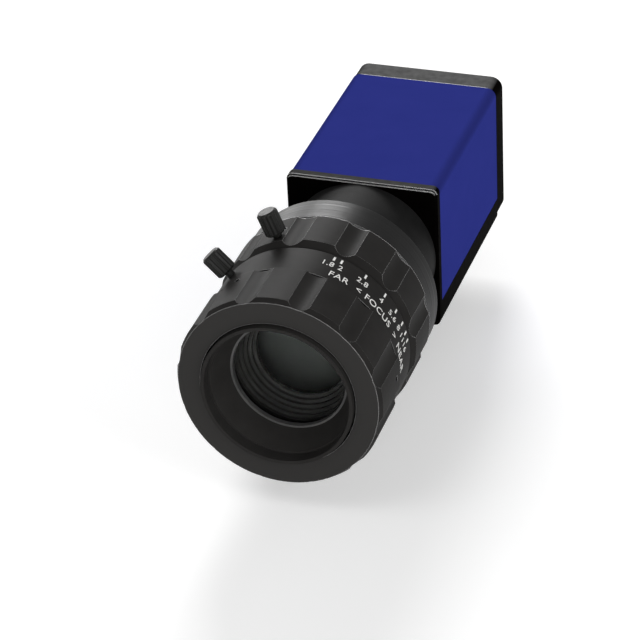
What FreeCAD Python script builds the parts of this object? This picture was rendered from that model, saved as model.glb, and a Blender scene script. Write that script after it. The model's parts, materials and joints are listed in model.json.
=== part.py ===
"""Machine vision camera: a 29 mm square camera head with a fixed focal length C-mount lens.

Frame: millimetres, +Z up, the lens looks along -Y. The origin is the centre of the four tapped
holes in the base tray, on its lower face.

Every driving size is a cell of the sheet "Sizes". Places are written as expressions in those cells,
in the camera's own datum: the outer face of the front plate, on the optical axis.
"""
import FreeCAD, Part
import math
import os
import re

import Sketcher

DOC = FreeCAD.newDocument("machine_vision_camera")
SHEET = DOC.addObject("Spreadsheet::Sheet", "Sizes")
NODES = []

HOUSING = {
    "housing_width": 29.0,
    "housing_height": 29.0,
    "housing_length": 46.4,
    "front_plate_thickness": 1.9,
    "rear_plate_thickness": 5.2,
    "cover_wall": 1.2,
    "cover_corner_radius": 1.8,
    "cover_inner_radius": 0.6,
    "tray_side_height": 4.8,
    "tray_floor": 4.0,
    "tray_tongue_wall": 1.2,
    "tray_tongue_rise": 1.6,
    "seat_clearance": 0.1,
    "black_corner_radius": 1.2,
    "rear_corner_radius": 2.2,
    "edge_bevel": 0.35,
}
FASTENERS = {
    "base_hole_span_x": 18.0,
    "base_hole_span_y": 30.0,
    "base_hole_radius": 1.25,
    "base_hole_depth": 3.2,
    "tie_screw_inset": 2.4,
    "tie_screw_radius": 0.95,
    "tie_screw_thread": 1.5,
    "tie_head_radius": 1.75,
    "tie_head_height": 1.8,
    "hex_socket_radius": 0.75,
    "hex_socket_depth": 1.0,
    "screw_clearance": 0.15,
    "thread_clearance": 0.02,
}
LENS_MOUNT = {
    "mount_radius": 14.0,
    "mount_length": 14.0,
    "mount_spigot_radius": 12.9,
    "mount_thread_radius": 12.7,
    "mount_thread_depth": 4.4,
    "mount_bore_radius": 11.0,
    "filter_radius": 9.4,
    "filter_thickness": 1.0,
    "filter_aperture_radius": 8.2,
    "filter_ledge": 1.2,
    "filter_ring_height": 0.8,
    "mount_screw_radius": 0.75,
    "mount_screw_place": 5.0,
}
ELECTRONICS = {
    "board_thickness": 1.2,
    "sensor_plane": 3.526,
    "sensor_side": 14.2,
    "sensor_thickness": 2.0,
    "sensor_well_depth": 0.55,
    "sensor_well_x": 9.6,
    "sensor_well_z": 7.6,
    "sensor_glass_x": 12.6,
    "sensor_glass_z": 11.4,
    "sensor_glass_thickness": 0.5,
    "processor_gap": 7.6,
    "standoff_inset": 1.1,
    "standoff_radius": 1.1,
    "board_screw_radius": 1.0,
    "board_screw_height": 0.8,
    "processor_side": 12.0,
    "processor_height": 1.6,
    "memory_x": 7.0,
    "memory_z": 8.4,
    "memory_height": 1.0,
    "board_clearance": 0.3,
    "link_x": 12.0,
    "link_z": 3.0,
}
REAR_PANEL = {
    "jack_x": 15.9,
    "jack_z": 13.4,
    "jack_length": 19.2,
    "jack_recess": 0.2,
    "plug_x": 11.8,
    "plug_z": 6.9,
    "plug_depth": 13.0,
    "plug_above_floor": 2.2,
    "latch_x": 6.2,
    "latch_z": 1.5,
    "latch_nose_x": 3.3,
    "latch_nose_z": 1.3,
    "contact_pitch": 1.02,
    "contact_width": 0.4,
    "contact_height": 0.5,
    "contact_length": 7.0,
    "lock_nut_span": 21.5,
    "lock_nut_radius": 1.8,
    "lock_nut_thread_radius": 0.8,
    "io_x": 4.6,
    "socket_web": 0.8,
    "io_shell_radius": 4.4,
    "io_shell_wall": 0.55,
    "io_proud": 1.6,
    "io_cavity_depth": 4.6,
    "io_pin_radius": 0.32,
    "io_pin_circle": 2.2,
    "io_pin_length": 2.6,
    "io_tail_radius": 3.2,
    "light_x": 6.4,
    "light_radius": 1.0,
    "led_side": 1.6,
    "led_height": 0.8,
}
BARREL = {
    "thread_length": 3.6,
    "thread_relief": 0.5,
    "rear_bore_radius": 8.0,
    "flange_radius": 18.3,
    "flange_length": 6.2,
    "flange_bevel": 0.15,
    "iris_tube_radius": 16.42,
    "iris_chamber_radius": 14.2,
    "band_start": 17.4,
    "band_end": 24.8,
    "spigot_clearance": 0.05,
    "spigot_bore_radius": 10.6,
    "focus_tube_wall": 1.87,
    "running_clearance": 0.08,
    "ring_gap": 0.15,
    "flange_gap": 0.2,
    "tube_end_gap": 0.6,
}
RINGS = {
    "ring_radius": 18.8,
    "iris_ring_chamfer_length": 2.0,
    "iris_ring_chamfer_depth": 0.9,
    "focus_ring_length": 11.55,
    "focus_ring_chamfer_length": 1.1,
    "focus_ring_chamfer_depth": 0.5,
    "focus_ring_lip": 1.9,
    "lip_gap": 0.3,
    "ring_step_depth": 0.7,
    "ring_step_length": 0.25,
    "ring_screw_inset": 2.25,
    "retaining_groove_depth": 0.65,
    "flute_count": 12,
    "flute_depth": 0.55,
    "flute_cutter_radius": 4.4,
    "iris_flute_angle": 10.4,
    "focus_flute_angle": 16.5,
    "ring_screw_radius": 0.5,
    "ring_screw_angle": 1.0,
    "ring_screw_sink": 0.5,
    "retaining_groove_width": 1.2,
}
FOCUS = {
    "rim_proud": 0.9,
    "barrel_floor_gap": 0.6,
    "filter_thread_radius": 13.25,
    "filter_thread_depth": 2.5,
    "rim_wall": 0.65,
    "mouth_ledge": 0.35,
    "barrel_wall": 1.9,
    "throat_ledge": 1.2,
    "lens_ledge": 1.6,
    "mouth_depth": 7.0,
    "front_lip": 1.0,
    "retaining_ring_height": 1.0,
    "keyway_depth": 0.6,
    "guide_pin_inset": 4.5,
    "guide_pin_radius": 0.6,
}
LOCKS = {
    "lock_head_radius": 1.95,
    "lock_neck": 0.6,
    "lock_head_length": 4.5,
    "lock_shank_radius": 0.8,
    "lock_tip_gap": 0.17,
    "lock_head_bevel": 0.3,
    "focus_lock_angle": 135.5,
    "focus_lock_place": 20.7,
    "iris_lock_angle": 111.8,
    "iris_lock_place": 13.0,
}
IRIS = {
    "iris_travel": 64.7,
    "iris_floor": 10.1,
    "drive_ring_gap": 0.1,
    "drive_ring_thickness": 1.2,
    "drive_ring_margin": 0.4,
    "drive_screw_radius": 0.5,
    "drive_screw_angle": 110.0,
    "drive_slot_margin": 3.0,
    "blade_count": 5,
    "blade_thickness": 0.12,
    "blade_pitch": 0.22,
    "blade_inner_radius": 5.2,
    "pivot_inset": 1.9,
    "blade_edge_gap": 1.3,
    "blade_sweep": 118.0,
    "blade_turn": 20.1,
    "pivot_pin_radius": 0.4,
    "pivot_lug_radius": 1.0,
    "follower_arm": 2.2,
    "follower_lead": 12.0,
    "follower_lug_radius": 0.8,
    "pin_clearance": 0.06,
    "iris_plate_thickness": 0.8,
    "iris_opening_radius": 5.0,
}
GLASS = {
    "front_glass_thickness": 4.2,
    "front_glass_curve": 40.0,
    "second_glass_thickness": 3.0,
    "second_glass_curve": 30.0,
    "glass_clearance": 0.05,
    "spacer_wall": 0.6,
    "rear_lip": 0.8,
    "rear_lip_radius": 7.0,
    "third_glass_thickness": 3.4,
    "third_glass_curve": 16.0,
    "rear_glass_thickness": 3.0,
    "rear_glass_curve": 18.0,
    "rear_ring_height": 1.2,
    "rear_ring_inner": 6.8,
}
SECTIONS = [HOUSING, FASTENERS, LENS_MOUNT, ELECTRONICS, REAR_PANEL, BARREL, RINGS, FOCUS, LOCKS, IRIS, GLASS]

# Sizes and places that follow from the cells. Lens places are measured forward from the mount's shoulder.
FOLLOWS = {
    "band_radius": "(flange_radius)",
    "iris_ring_start": "(flange_length + flange_gap)",
    "iris_ring_end": "(band_start - ring_gap)",
    "iris_ring_chamfer_start": "(iris_ring_end - iris_ring_chamfer_length)",
    "iris_ring_nose_radius": "(ring_radius - iris_ring_chamfer_depth)",
    "focus_ring_start": "(band_end + ring_gap)",
    "focus_ring_end": "(focus_ring_start + focus_ring_length)",
    "focus_ring_chamfer_start": "(focus_ring_end - focus_ring_chamfer_length)",
    "focus_ring_nose_radius": "(ring_radius - focus_ring_chamfer_depth)",
    "front_barrel_radius": "(filter_thread_radius + rim_wall)",
    "mouth_radius": "(filter_thread_radius - mouth_ledge)",
    "front_bore_radius": "(front_barrel_radius - barrel_wall)",
    "mouth_throat_radius": "(front_bore_radius - throat_ledge)",
    "front_lip_radius": "(front_bore_radius - lens_ledge)",
    "retaining_ring_inner": "(front_bore_radius - lens_ledge)",
    "focus_tube_radius": "(focus_bore_radius + focus_tube_wall)",
    "focus_ring_lip_radius": "(front_barrel_radius + lip_gap)",
    "ring_step_radius": "(ring_radius - ring_step_depth)",
    "ring_screw_place": "(focus_ring_start + ring_screw_inset)",
    "retaining_groove_radius": "(focus_tube_radius - retaining_groove_depth)",
    "focus_tube_end": "(focus_ring_end - focus_ring_lip - tube_end_gap)",
    "focus_bore_radius": "(front_barrel_radius + running_clearance)",
    "front_rim": "(focus_ring_end + rim_proud)",
    "front_barrel_start": "(band_start + barrel_floor_gap)",
    "mouth_throat": "(front_rim - mouth_depth)",
    "guide_pin_place": "(front_barrel_start + guide_pin_inset)",
    "keyway_half_width": "(guide_pin_radius + glass_clearance)",
    "keyway_length": "(guide_pin_inset + guide_pin_radius + ring_gap)",
    "lock_head_start": "(ring_radius + lock_neck)",
    "pivot_circle": "(iris_chamber_radius - pivot_inset)",
    "blade_outer_radius": "(pivot_circle - blade_edge_gap)",
    "drive_ring_inner": "(blade_outer_radius - drive_ring_margin)",
    "board_side": "(housing_height - tray_floor * 2 - board_clearance * 2)",
    "jack_below_axis": "(housing_height / 2 - tray_floor - seat_clearance - jack_z / 2)",
    "jack_top": "(jack_z / 2 - jack_below_axis)",
    "io_above_axis": "(jack_top + seat_clearance + socket_web + io_shell_radius)",
    "light_above_axis": "(io_above_axis)",
}


# The sheet and its expressions


def fill_sheet():
    """One row per driving size: its name, its value under an alias."""
    row = 1
    for section in SECTIONS:
        for alias, number in section.items():
            SHEET.set(f"A{row}", alias)
            SHEET.set(f"B{row}", str(number))
            SHEET.setAlias(f"B{row}", alias)
            row += 1
    DOC.recompute()


def full(text):
    """An expression in bare names: what follows from the cells is put in, then the sheet's name before each cell."""
    text = str(text)
    while re.search(r"\b(" + "|".join(FOLLOWS) + r")\b", text):
        text = re.sub(r"\b[a-z_]+\b", lambda word: FOLLOWS.get(word[0], word[0]), text)
    return re.sub(r"\b[a-z_]+\b", lambda word: "Sizes." + word[0] if hasattr(SHEET, word[0]) else word[0], text)


def value(text):
    """What an expression is worth now."""
    return float(SHEET.evalExpression(full(text)))


def bind(item, name, text):
    item.setExpression(name, full(text))


# Placing pieces: y runs to the rear from the front plate's face, x and z from the optical axis


def place(item, x, y, z):
    """Put an object's own origin at a point given from the camera's datum."""
    bind(item, "Placement.Base.x", x)
    bind(item, "Placement.Base.y", f"{y} - housing_length / 2")
    bind(item, "Placement.Base.z", f"{z} + housing_height / 2")


def turn(item, axis, degrees):
    item.Placement.Rotation = FreeCAD.Rotation(FreeCAD.Vector(*axis), degrees)


def keep(item, label):
    """Name an object as one of the camera's pieces."""
    item.Label = label
    NODES.append(item)
    return item


# Part primitives and booleans


def box(name, size, corner):
    item = DOC.addObject("Part::Box", name)
    for side, text in zip(("Length", "Width", "Height"), size):
        bind(item, side, text)
    place(item, *corner)
    return item


def rod(name, radius, length, start):
    """A cylinder that runs to the rear from its start."""
    item = DOC.addObject("Part::Cylinder", name)
    bind(item, "Radius", radius)
    bind(item, "Height", length)
    turn(item, (1, 0, 0), -90)
    place(item, *start)
    return item


def spoke(name, radius, length, angle, forward, start_radius):
    """A cylinder that points away from the optical axis; angle is measured from +X towards +Z."""
    item = DOC.addObject("Part::Cylinder", name)
    bind(item, "Radius", radius)
    bind(item, "Height", length)
    item.Placement.Rotation = spoke_rotation(angle)
    place(item, f"({start_radius}) * cos({angle})", f"-({forward})", f"({start_radius}) * sin({angle})")
    return item


def lens_spoke(name, radius, length, angle, ahead, start_radius):
    """A spoke of the lens, placed ahead of the mount's shoulder."""
    return spoke(name, radius, length, angle, f"mount_length + {ahead}", start_radius)


def spoke_rotation(angle):
    theta = math.radians(value(angle))
    return FreeCAD.Rotation(FreeCAD.Vector(0, 0, 1), FreeCAD.Vector(math.cos(theta), 0, math.sin(theta)))


def cut(name, base, tool):
    item = DOC.addObject("Part::Cut", name)
    item.Base = base
    item.Tool = tool
    return item


def fuse(name, shapes):
    item = DOC.addObject("Part::MultiFuse", name)
    item.Shapes = shapes
    return item


def group(name, links):
    item = DOC.addObject("Part::Compound", name)
    item.Links = links
    return item


# PartDesign bodies


def new_body(label):
    body = DOC.addObject("PartDesign::Body", label)
    place(body, "0", "0", "0")
    return keep(body, label)


def new_lens_body(label):
    """A body turned half round, so that its own +Y points forward, out of the lens."""
    body = new_body(label)
    place(body, "0", "-mount_length", "0")
    turn(body, (0, 0, 1), 180)
    return body


def origin_part(body, role):
    return next(part for part in body.Origin.OriginFeatures if part.Role == role)


def new_sketch(body, name, plane, rise="0"):
    sketch = body.newObject("Sketcher::SketchObject", name)
    sketch.AttachmentSupport = [(origin_part(body, plane), "")]
    sketch.MapMode = "FlatFace"
    bind(sketch, "AttachmentOffset.Base.z", rise)
    return sketch


def pin_point(sketch, index, position, u, v):
    """Hold one point of a sketch at a place worked out from the sheet."""
    for kind, text in (("DistanceX", u), ("DistanceY", v)):
        number = sketch.addConstraint(Sketcher.Constraint(kind, -1, 1, index, position, value(text)))
        bind(sketch, f"Constraints[{number}]", text)


def outline(sketch, points):
    """A closed outline of straight sides."""
    first = len(sketch.Geometry)
    corners = [FreeCAD.Vector(value(u), value(v), 0) for u, v in points]
    count = len(corners)
    for side in range(count):
        sketch.addGeometry(Part.LineSegment(corners[side], corners[(side + 1) % count]))
    for side in range(count):
        follower = first + (side + 1) % count
        sketch.addConstraint(Sketcher.Constraint("Coincident", first + side, 2, follower, 1))
    for side, (u, v) in enumerate(points):
        pin_point(sketch, first + side, 1, u, v)


def rectangle(sketch, u_low, v_low, u_high, v_high):
    outline(sketch, [(u_low, v_low), (u_high, v_low), (u_high, v_high), (u_low, v_high)])


def ring_outline(sketch, u, v, radius):
    """A circle with its centre at (u, v)."""
    centre = FreeCAD.Vector(value(u), value(v), 0)
    index = sketch.addGeometry(Part.Circle(centre, FreeCAD.Vector(0, 0, 1), value(radius)))
    pin_point(sketch, index, 3, u, v)
    number = sketch.addConstraint(Sketcher.Constraint("Radius", index, value(radius)))
    bind(sketch, f"Constraints[{number}]", radius)


def revolve(body, points):
    """Turn an outline of (radius, forward) points about the optical axis."""
    sketch = new_sketch(body, body.Name + "_profile", "XY_Plane")
    outline(sketch, points)
    feature = body.newObject("PartDesign::Revolution", body.Name + "_turned")
    feature.Profile = sketch
    feature.ReferenceAxis = (sketch, ["V_Axis"])
    feature.Angle = 360
    DOC.recompute()


def pad(body, name, sketch, length):
    """Add a prism that runs to the rear of its sketch."""
    feature = body.newObject("PartDesign::Pad", name)
    feature.Profile = sketch
    feature.Reversed = True
    bind(feature, "Length", length)
    DOC.recompute()


def pocket(body, name, sketch, length=None):
    """Cut a prism to the rear of its sketch, or right through both ways with no length."""
    before = body.Tip.Shape.Volume
    feature = body.newObject("PartDesign::Pocket", name)
    feature.Profile = sketch
    if length is None:
        feature.Type = "ThroughAll"
        feature.Midplane = True
    else:
        bind(feature, "Length", length)
    DOC.recompute()
    if feature.Shape.Volume > before - 1e-6:
        raise ValueError(f"{name} cuts nothing")
    return feature


def dress(body, kind, name, size_name, size, chooser):
    """A fillet or chamfer on the edges that the chooser picks."""
    base = body.Tip
    picked = [f"Edge{number}" for number, edge in enumerate(base.Shape.Edges, 1) if chooser(edge)]
    if not picked:
        raise ValueError(f"{name} finds no edge")
    feature = body.newObject(kind, name)
    feature.Base = (base, picked)
    bind(feature, size_name, size)
    DOC.recompute()


def fillet(body, name, radius, chooser):
    dress(body, "PartDesign::Fillet", name, "Radius", radius, chooser)


def chamfer(body, name, size, chooser):
    dress(body, "PartDesign::Chamfer", name, "Size", size, chooser)


def runs_along_y(edge):
    box = edge.BoundBox
    return box.YLength > 0.2 and box.XLength < 1e-6 and box.ZLength < 1e-6


def corner_edges(x, z):
    """Edges along Y whose distance from both middle planes is the one given."""
    def chooser(edge):
        middle = edge.BoundBox.Center
        return (runs_along_y(edge) and abs(abs(middle.x) - value(x)) < 1e-4
                and abs(abs(middle.z) - value(z)) < 1e-4)
    return chooser


def rim_edges(y):
    """Every edge that lies in the plane at one y and on the outside of the piece."""
    def chooser(edge):
        box = edge.BoundBox
        outside = max(abs(box.XMin), abs(box.XMax)) > value("housing_width / 2 - rear_corner_radius")
        outside = outside or max(abs(box.ZMin), abs(box.ZMax)) > value("housing_height / 2 - rear_corner_radius")
        return box.YLength < 1e-6 and abs(box.YMin - value(y)) < 1e-4 and outside and not inside_hole(edge)
    return chooser


def inside_hole(edge):
    """Whether an edge is a full circle."""
    return edge.isClosed()


def drill(body, name, radius, depth, rotation, x, y, z, sector="360"):
    """A round cutter at a point of the body's own frame."""
    before = body.Tip.Shape.Volume
    feature = body.newObject("PartDesign::SubtractiveCylinder", name)
    bind(feature, "Radius", radius)
    bind(feature, "Height", depth)
    bind(feature, "Angle", sector)
    feature.Placement.Rotation = rotation
    for axis, text in (("x", x), ("y", y), ("z", z)):
        bind(feature, f"Placement.Base.{axis}", text)
    DOC.recompute()
    if feature.Shape.Volume > before - 1e-6:
        raise ValueError(f"{name} cuts nothing")


def drill_spoke(body, name, radius, angle, forward, start, depth):
    """A radial hole in a lens body, at an angle given from +X towards +Z as the whole camera stands."""
    mirrored = f"180 - ({angle})"
    x = f"({start}) * cos({mirrored})"
    z = f"({start}) * sin({mirrored})"
    drill(body, name, radius, depth, spoke_rotation(mirrored), x, forward, z)


TO_REAR = FreeCAD.Rotation(FreeCAD.Vector(1, 0, 0), -90)
UPWARD = FreeCAD.Rotation()
LEFT_RIGHT = (-1, 1)
CORNERS = [(x, z) for x in LEFT_RIGHT for z in LEFT_RIGHT]
TIE_X = "(housing_width / 2 - tie_screw_inset)"
TIE_Z = "(housing_height / 2 - tie_screw_inset)"
REAR_FACE_OF_COVER = "(housing_length - rear_plate_thickness)"
SEAM = "(tray_side_height - housing_height / 2)"


# The housing


def front_plate():
    body = new_body("front_plate")
    sketch = new_sketch(body, "front_plate_outline", "XZ_Plane")
    rectangle(sketch, "-housing_width / 2", "-housing_height / 2", "housing_width / 2", "housing_height / 2")
    ring_outline(sketch, "0", "0", "mount_spigot_radius + thread_clearance")
    pad(body, "front_plate_blank", sketch, "front_plate_thickness")
    corners = corner_edges("housing_width / 2", "housing_height / 2")
    fillet(body, "front_plate_corners", "black_corner_radius", corners)
    chamfer(body, "front_plate_bevel", "edge_bevel", rim_edges("0"))
    holes = new_sketch(body, "tie_thread_places", "XZ_Plane", "tie_screw_thread - front_plate_thickness")
    for x, z in CORNERS:
        ring_outline(holes, f"{x} * {TIE_X}", f"{z} * {TIE_Z}", "tie_screw_radius + thread_clearance")
    pocket(body, "tie_threads", holes, "tie_screw_thread")


def base_tray():
    body = new_body("base_tray")
    start = "-front_plate_thickness"
    half = "housing_width / 2"
    low = "-housing_height / 2"
    floor = f"({low} + tray_floor)"
    out = f"({half} - cover_wall - seat_clearance)"
    tongue = f"({SEAM} + tray_tongue_rise)"
    inner = f"({out} - tray_tongue_wall)"
    right = [(half, low), (half, SEAM), (out, SEAM), (out, tongue), (inner, tongue), (inner, floor)]
    left = [(f"-({x})", z) for x, z in reversed(right)]
    sketch = new_sketch(body, "tray_section", "XZ_Plane", start)
    outline(sketch, right + left)
    pad(body, "tray_blank", sketch, f"{REAR_FACE_OF_COVER} - front_plate_thickness")
    fillet(body, "tray_corners", "black_corner_radius", lower_corners)
    channels = new_sketch(body, "tie_channel_places", "XZ_Plane", start)
    for x in LEFT_RIGHT:
        ring_outline(channels, f"{x} * {TIE_X}", f"-{TIE_Z}", "tie_screw_radius + screw_clearance")
    pocket(body, "tie_channels", channels)
    for x in LEFT_RIGHT:
        for y in LEFT_RIGHT:
            drill(body, f"base_hole_{x + 1}{y + 1}", "base_hole_radius", "base_hole_depth", UPWARD,
                  f"{x} * base_hole_span_x / 2", f"housing_length / 2 + {y} * base_hole_span_y / 2", low)


def lower_corners(edge):
    return corner_edges("housing_width / 2", "housing_height / 2")(edge) and edge.BoundBox.Center.z < 0


def top_cover():
    body = new_body("top_cover")
    half = "housing_width / 2"
    top = "housing_height / 2"
    inner = f"({half} - cover_wall)"
    roof = f"({top} - cover_wall)"
    right = [(half, top), (half, SEAM), (inner, SEAM), (inner, roof)]
    left = [(f"-({x})", z) for x, z in reversed(right)]
    sketch = new_sketch(body, "cover_section", "XZ_Plane", "-front_plate_thickness")
    outline(sketch, right + left)
    pad(body, "cover_bent", sketch, f"{REAR_FACE_OF_COVER} - front_plate_thickness")
    fillet(body, "cover_outer_bends", "cover_corner_radius", corner_edges(half, top))
    fillet(body, "cover_inner_bends", "cover_inner_radius", corner_edges(inner, roof))


def rear_plate():
    body = new_body("rear_plate")
    start = f"-{REAR_FACE_OF_COVER}"
    sketch = new_sketch(body, "rear_plate_outline", "XZ_Plane", start)
    rectangle(sketch, "-housing_width / 2", "-housing_height / 2", "housing_width / 2", "housing_height / 2")
    pad(body, "rear_plate_blank", sketch, "rear_plate_thickness")
    corners = corner_edges("housing_width / 2", "housing_height / 2")
    fillet(body, "rear_plate_corners", "rear_corner_radius", corners)
    chamfer(body, "rear_plate_bevel", "edge_bevel", rim_edges("housing_length"))
    openings = new_sketch(body, "panel_openings", "XZ_Plane", start)
    jack_opening(openings)
    ring_outline(openings, "-io_x", "io_above_axis", "io_shell_radius + seat_clearance")
    ring_outline(openings, "light_x", "light_above_axis", "light_radius + seat_clearance")
    for x in LEFT_RIGHT:
        ring_outline(openings, f"{x} * lock_nut_span / 2", "-jack_below_axis", "lock_nut_radius + thread_clearance")
    for x, z in CORNERS:
        ring_outline(openings, f"{x} * {TIE_X}", f"{z} * {TIE_Z}", "tie_screw_radius + screw_clearance")
    pocket(body, "panel_cuts", openings)
    sinks = new_sketch(body, "head_sink_places", "XZ_Plane", "tie_head_height + screw_clearance - housing_length")
    for x, z in CORNERS:
        ring_outline(sinks, f"{x} * {TIE_X}", f"{z} * {TIE_Z}", "tie_head_radius + screw_clearance")
    pocket(body, "head_sinks", sinks, "tie_head_height + screw_clearance")


def jack_opening(sketch):
    half_x = "(jack_x / 2 + seat_clearance)"
    half_z = "(jack_z / 2 + seat_clearance)"
    rectangle(sketch, f"-{half_x}", f"-jack_below_axis - {half_z}", half_x, f"{half_z} - jack_below_axis")


def tie_screws():
    """Four long socket screws that clamp the cover and the tray between the two plates."""
    screws = []
    head_start = "(housing_length - tie_head_height - screw_clearance)"
    shank_start = "(front_plate_thickness - tie_screw_thread)"
    for number, (x, z) in enumerate(CORNERS):
        at_x = f"{x} * {TIE_X}"
        at_z = f"{z} * {TIE_Z}"
        shank = rod(f"tie_shank_{number}", "tie_screw_radius", f"{head_start} - {shank_start}",
                    (at_x, shank_start, at_z))
        head = rod(f"tie_head_{number}", "tie_head_radius", "tie_head_height", (at_x, head_start, at_z))
        socket = hexagon(f"tie_socket_{number}", "hex_socket_radius", "hex_socket_depth",
                         (at_x, f"{head_start} + tie_head_height - hex_socket_depth", at_z))
        screws.append(cut(f"tie_screw_{number}", fuse(f"tie_blank_{number}", [shank, head]), socket))
    keep(group("tie_screws", screws), "housing_screws")


def hexagon(name, radius, length, start):
    item = DOC.addObject("Part::Prism", name)
    item.Polygon = 6
    bind(item, "Circumradius", radius)
    bind(item, "Height", length)
    turn(item, (1, 0, 0), -90)
    place(item, *start)
    return item


# The lens mount and its filter


def c_mount():
    body = new_body("c_mount_ring")
    turn(body, (0, 0, 1), 180)
    glass_top = "(filter_ledge + filter_thickness)"
    ring_top = f"({glass_top} + filter_ring_height)"
    thread = "(mount_thread_radius + spigot_clearance)"
    thread_floor = "(mount_length - mount_thread_depth)"
    seat = "(filter_radius + seat_clearance)"
    revolve(body, [(thread, "mount_length"), ("mount_radius", "mount_length"), ("mount_radius", "0"),
                   ("mount_spigot_radius", "0"), ("mount_spigot_radius", "-front_plate_thickness"),
                   ("filter_aperture_radius", "-front_plate_thickness"), ("filter_aperture_radius", "filter_ledge"),
                   (seat, "filter_ledge"), (seat, ring_top), ("mount_bore_radius", ring_top),
                   ("mount_bore_radius", thread_floor), (thread, thread_floor)])
    for number, angle in enumerate((90, 210, 330)):
        drill_spoke(body, f"mount_screw_hole_{number}", "mount_screw_radius + thread_clearance", angle,
                    "mount_length - mount_screw_place / 2", "mount_bore_radius", "mount_radius")
    filter_glass = rod("filter_glass", "filter_radius", "filter_thickness", ("0", f"-{glass_top}", "0"))
    keep(filter_glass, "filter_glass")
    outer = rod("filter_ring_blank", "filter_radius", "filter_ring_height", ("0", f"-{ring_top}", "0"))
    inner = rod("filter_ring_bore", "filter_aperture_radius", "filter_ring_height", ("0", f"-{ring_top}", "0"))
    keep(cut("filter_ring", outer, inner), "filter_ring")


def mount_screws():
    """Three set screws through the mount ring, each short of the lens thread."""
    screws = []
    start = "(mount_thread_radius + spigot_clearance)"
    for number, angle in enumerate((90, 210, 330)):
        screws.append(spoke(f"mount_screw_{number}", "mount_screw_radius", f"mount_radius - {start} - seat_clearance",
                            f"{angle}", "mount_length - mount_screw_place / 2", start))
    keep(group("mount_screws_group", screws), "mount_screws")


# The sensor and the boards


SENSOR_BOARD = "(sensor_plane - sensor_well_depth + sensor_thickness)"
PROCESSOR_BOARD = f"({SENSOR_BOARD} + board_thickness + processor_gap)"
INTERFACE_BOARD = "(housing_length - jack_recess - jack_length - board_thickness)"
STANDOFF_PLACE = "(board_side / 2 - standoff_inset)"


def centred_box(name, x, y, z, start, at_x="0", at_z="0"):
    """A box of size x, y, z, centred on a line parallel to the optical axis."""
    return box(name, (x, y, z), (f"{at_x} - {x} / 2", start, f"{at_z} - {z} / 2"))


def image_sensor():
    front = "(sensor_plane - sensor_well_depth)"
    package = centred_box("sensor_package", "sensor_side", "sensor_thickness", "sensor_side", front)
    well = centred_box("sensor_well", "sensor_well_x", "sensor_well_depth", "sensor_well_z", front)
    keep(cut("sensor_cut", package, well), "image_sensor")
    glass = centred_box("sensor_lid", "sensor_glass_x", "sensor_glass_thickness", "sensor_glass_z",
                        f"{front} - sensor_glass_thickness")
    keep(glass, "sensor_glass")


def boards():
    places = {"sensor_board": SENSOR_BOARD, "processor_board": PROCESSOR_BOARD, "interface_board": INTERFACE_BOARD}
    for label, start in places.items():
        keep(centred_box(label, "board_side", "board_thickness", "board_side", start), label)


def chips():
    face = f"({PROCESSOR_BOARD} + board_thickness)"
    keep(centred_box("processor", "processor_side", "processor_height", "processor_side", face), "processor_chip")
    memory = []
    for side in LEFT_RIGHT:
        memory.append(centred_box(f"memory_{side + 1}", "memory_x", "memory_height", "memory_z",
                                  f"{PROCESSOR_BOARD} - memory_height", at_x=f"{side} * (memory_x / 2 + 0.6)"))
    keep(group("memory_group", memory), "memory_chips")


def board_links():
    """Plug and socket rows that join each board to the next, with one standing above the middle."""
    links = []
    second_gap = f"({INTERFACE_BOARD} - {PROCESSOR_BOARD} - board_thickness)"
    rows = ((SENSOR_BOARD, "processor_gap", "1"), (PROCESSOR_BOARD, second_gap, "-1"))
    for number, (start, length, side) in enumerate(rows):
        links.append(centred_box(f"link_{number}", "link_x", length, "link_z", f"{start} + board_thickness",
                                 at_z=f"{side} * (processor_side / 2 + link_z / 2 + 0.4)"))
    keep(group("links_group", links), "board_connectors")


def standoffs():
    """Spacers behind the front plate and between the boards, and the screws that end each stack."""
    spans = (("front_plate_thickness", SENSOR_BOARD), (f"{SENSOR_BOARD} + board_thickness", PROCESSOR_BOARD),
             (f"{PROCESSOR_BOARD} + board_thickness", INTERFACE_BOARD))
    spacers = []
    screws = []
    for x, z in CORNERS:
        at_x = f"{x} * {STANDOFF_PLACE}"
        at_z = f"{z} * {STANDOFF_PLACE}"
        for level, (start, end) in enumerate(spans):
            spacers.append(hexagon(f"standoff_{level}_{x + 1}{z + 1}", "standoff_radius", f"{end} - ({start})",
                                   (at_x, start, at_z)))
        screws.append(rod(f"board_screw_{x + 1}{z + 1}", "board_screw_radius", "board_screw_height",
                          (at_x, f"{INTERFACE_BOARD} + board_thickness", at_z)))
    keep(group("standoff_group", spacers), "board_standoffs")
    keep(group("board_screw_group", screws), "board_screws")


# The rear panel's sockets


JACK_MOUTH = "(housing_length - jack_recess)"
JACK_START = f"({INTERFACE_BOARD} + board_thickness)"
PLUG_FLOOR = "(plug_above_floor - jack_below_axis - jack_z / 2)"


def network_jack():
    block = centred_box("jack_block", "jack_x", "jack_length", "jack_z", JACK_START, at_z="-jack_below_axis")
    mouth = f"{JACK_MOUTH} - plug_depth"
    plug = box("jack_plug_space", ("plug_x", "plug_depth", "plug_z"), ("-plug_x / 2", mouth, PLUG_FLOOR))
    latch_floor = f"{PLUG_FLOOR} + plug_z"
    latch = box("jack_latch_space", ("latch_x", "plug_depth", "latch_z"), ("-latch_x / 2", mouth, latch_floor))
    nose = box("jack_nose_space", ("latch_nose_x", "plug_depth", "latch_nose_z"),
               ("-latch_nose_x / 2", mouth, f"{latch_floor} + latch_z"))
    keep(cut("jack_cut", block, fuse("jack_spaces", [plug, latch, nose])), "network_jack")


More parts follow.
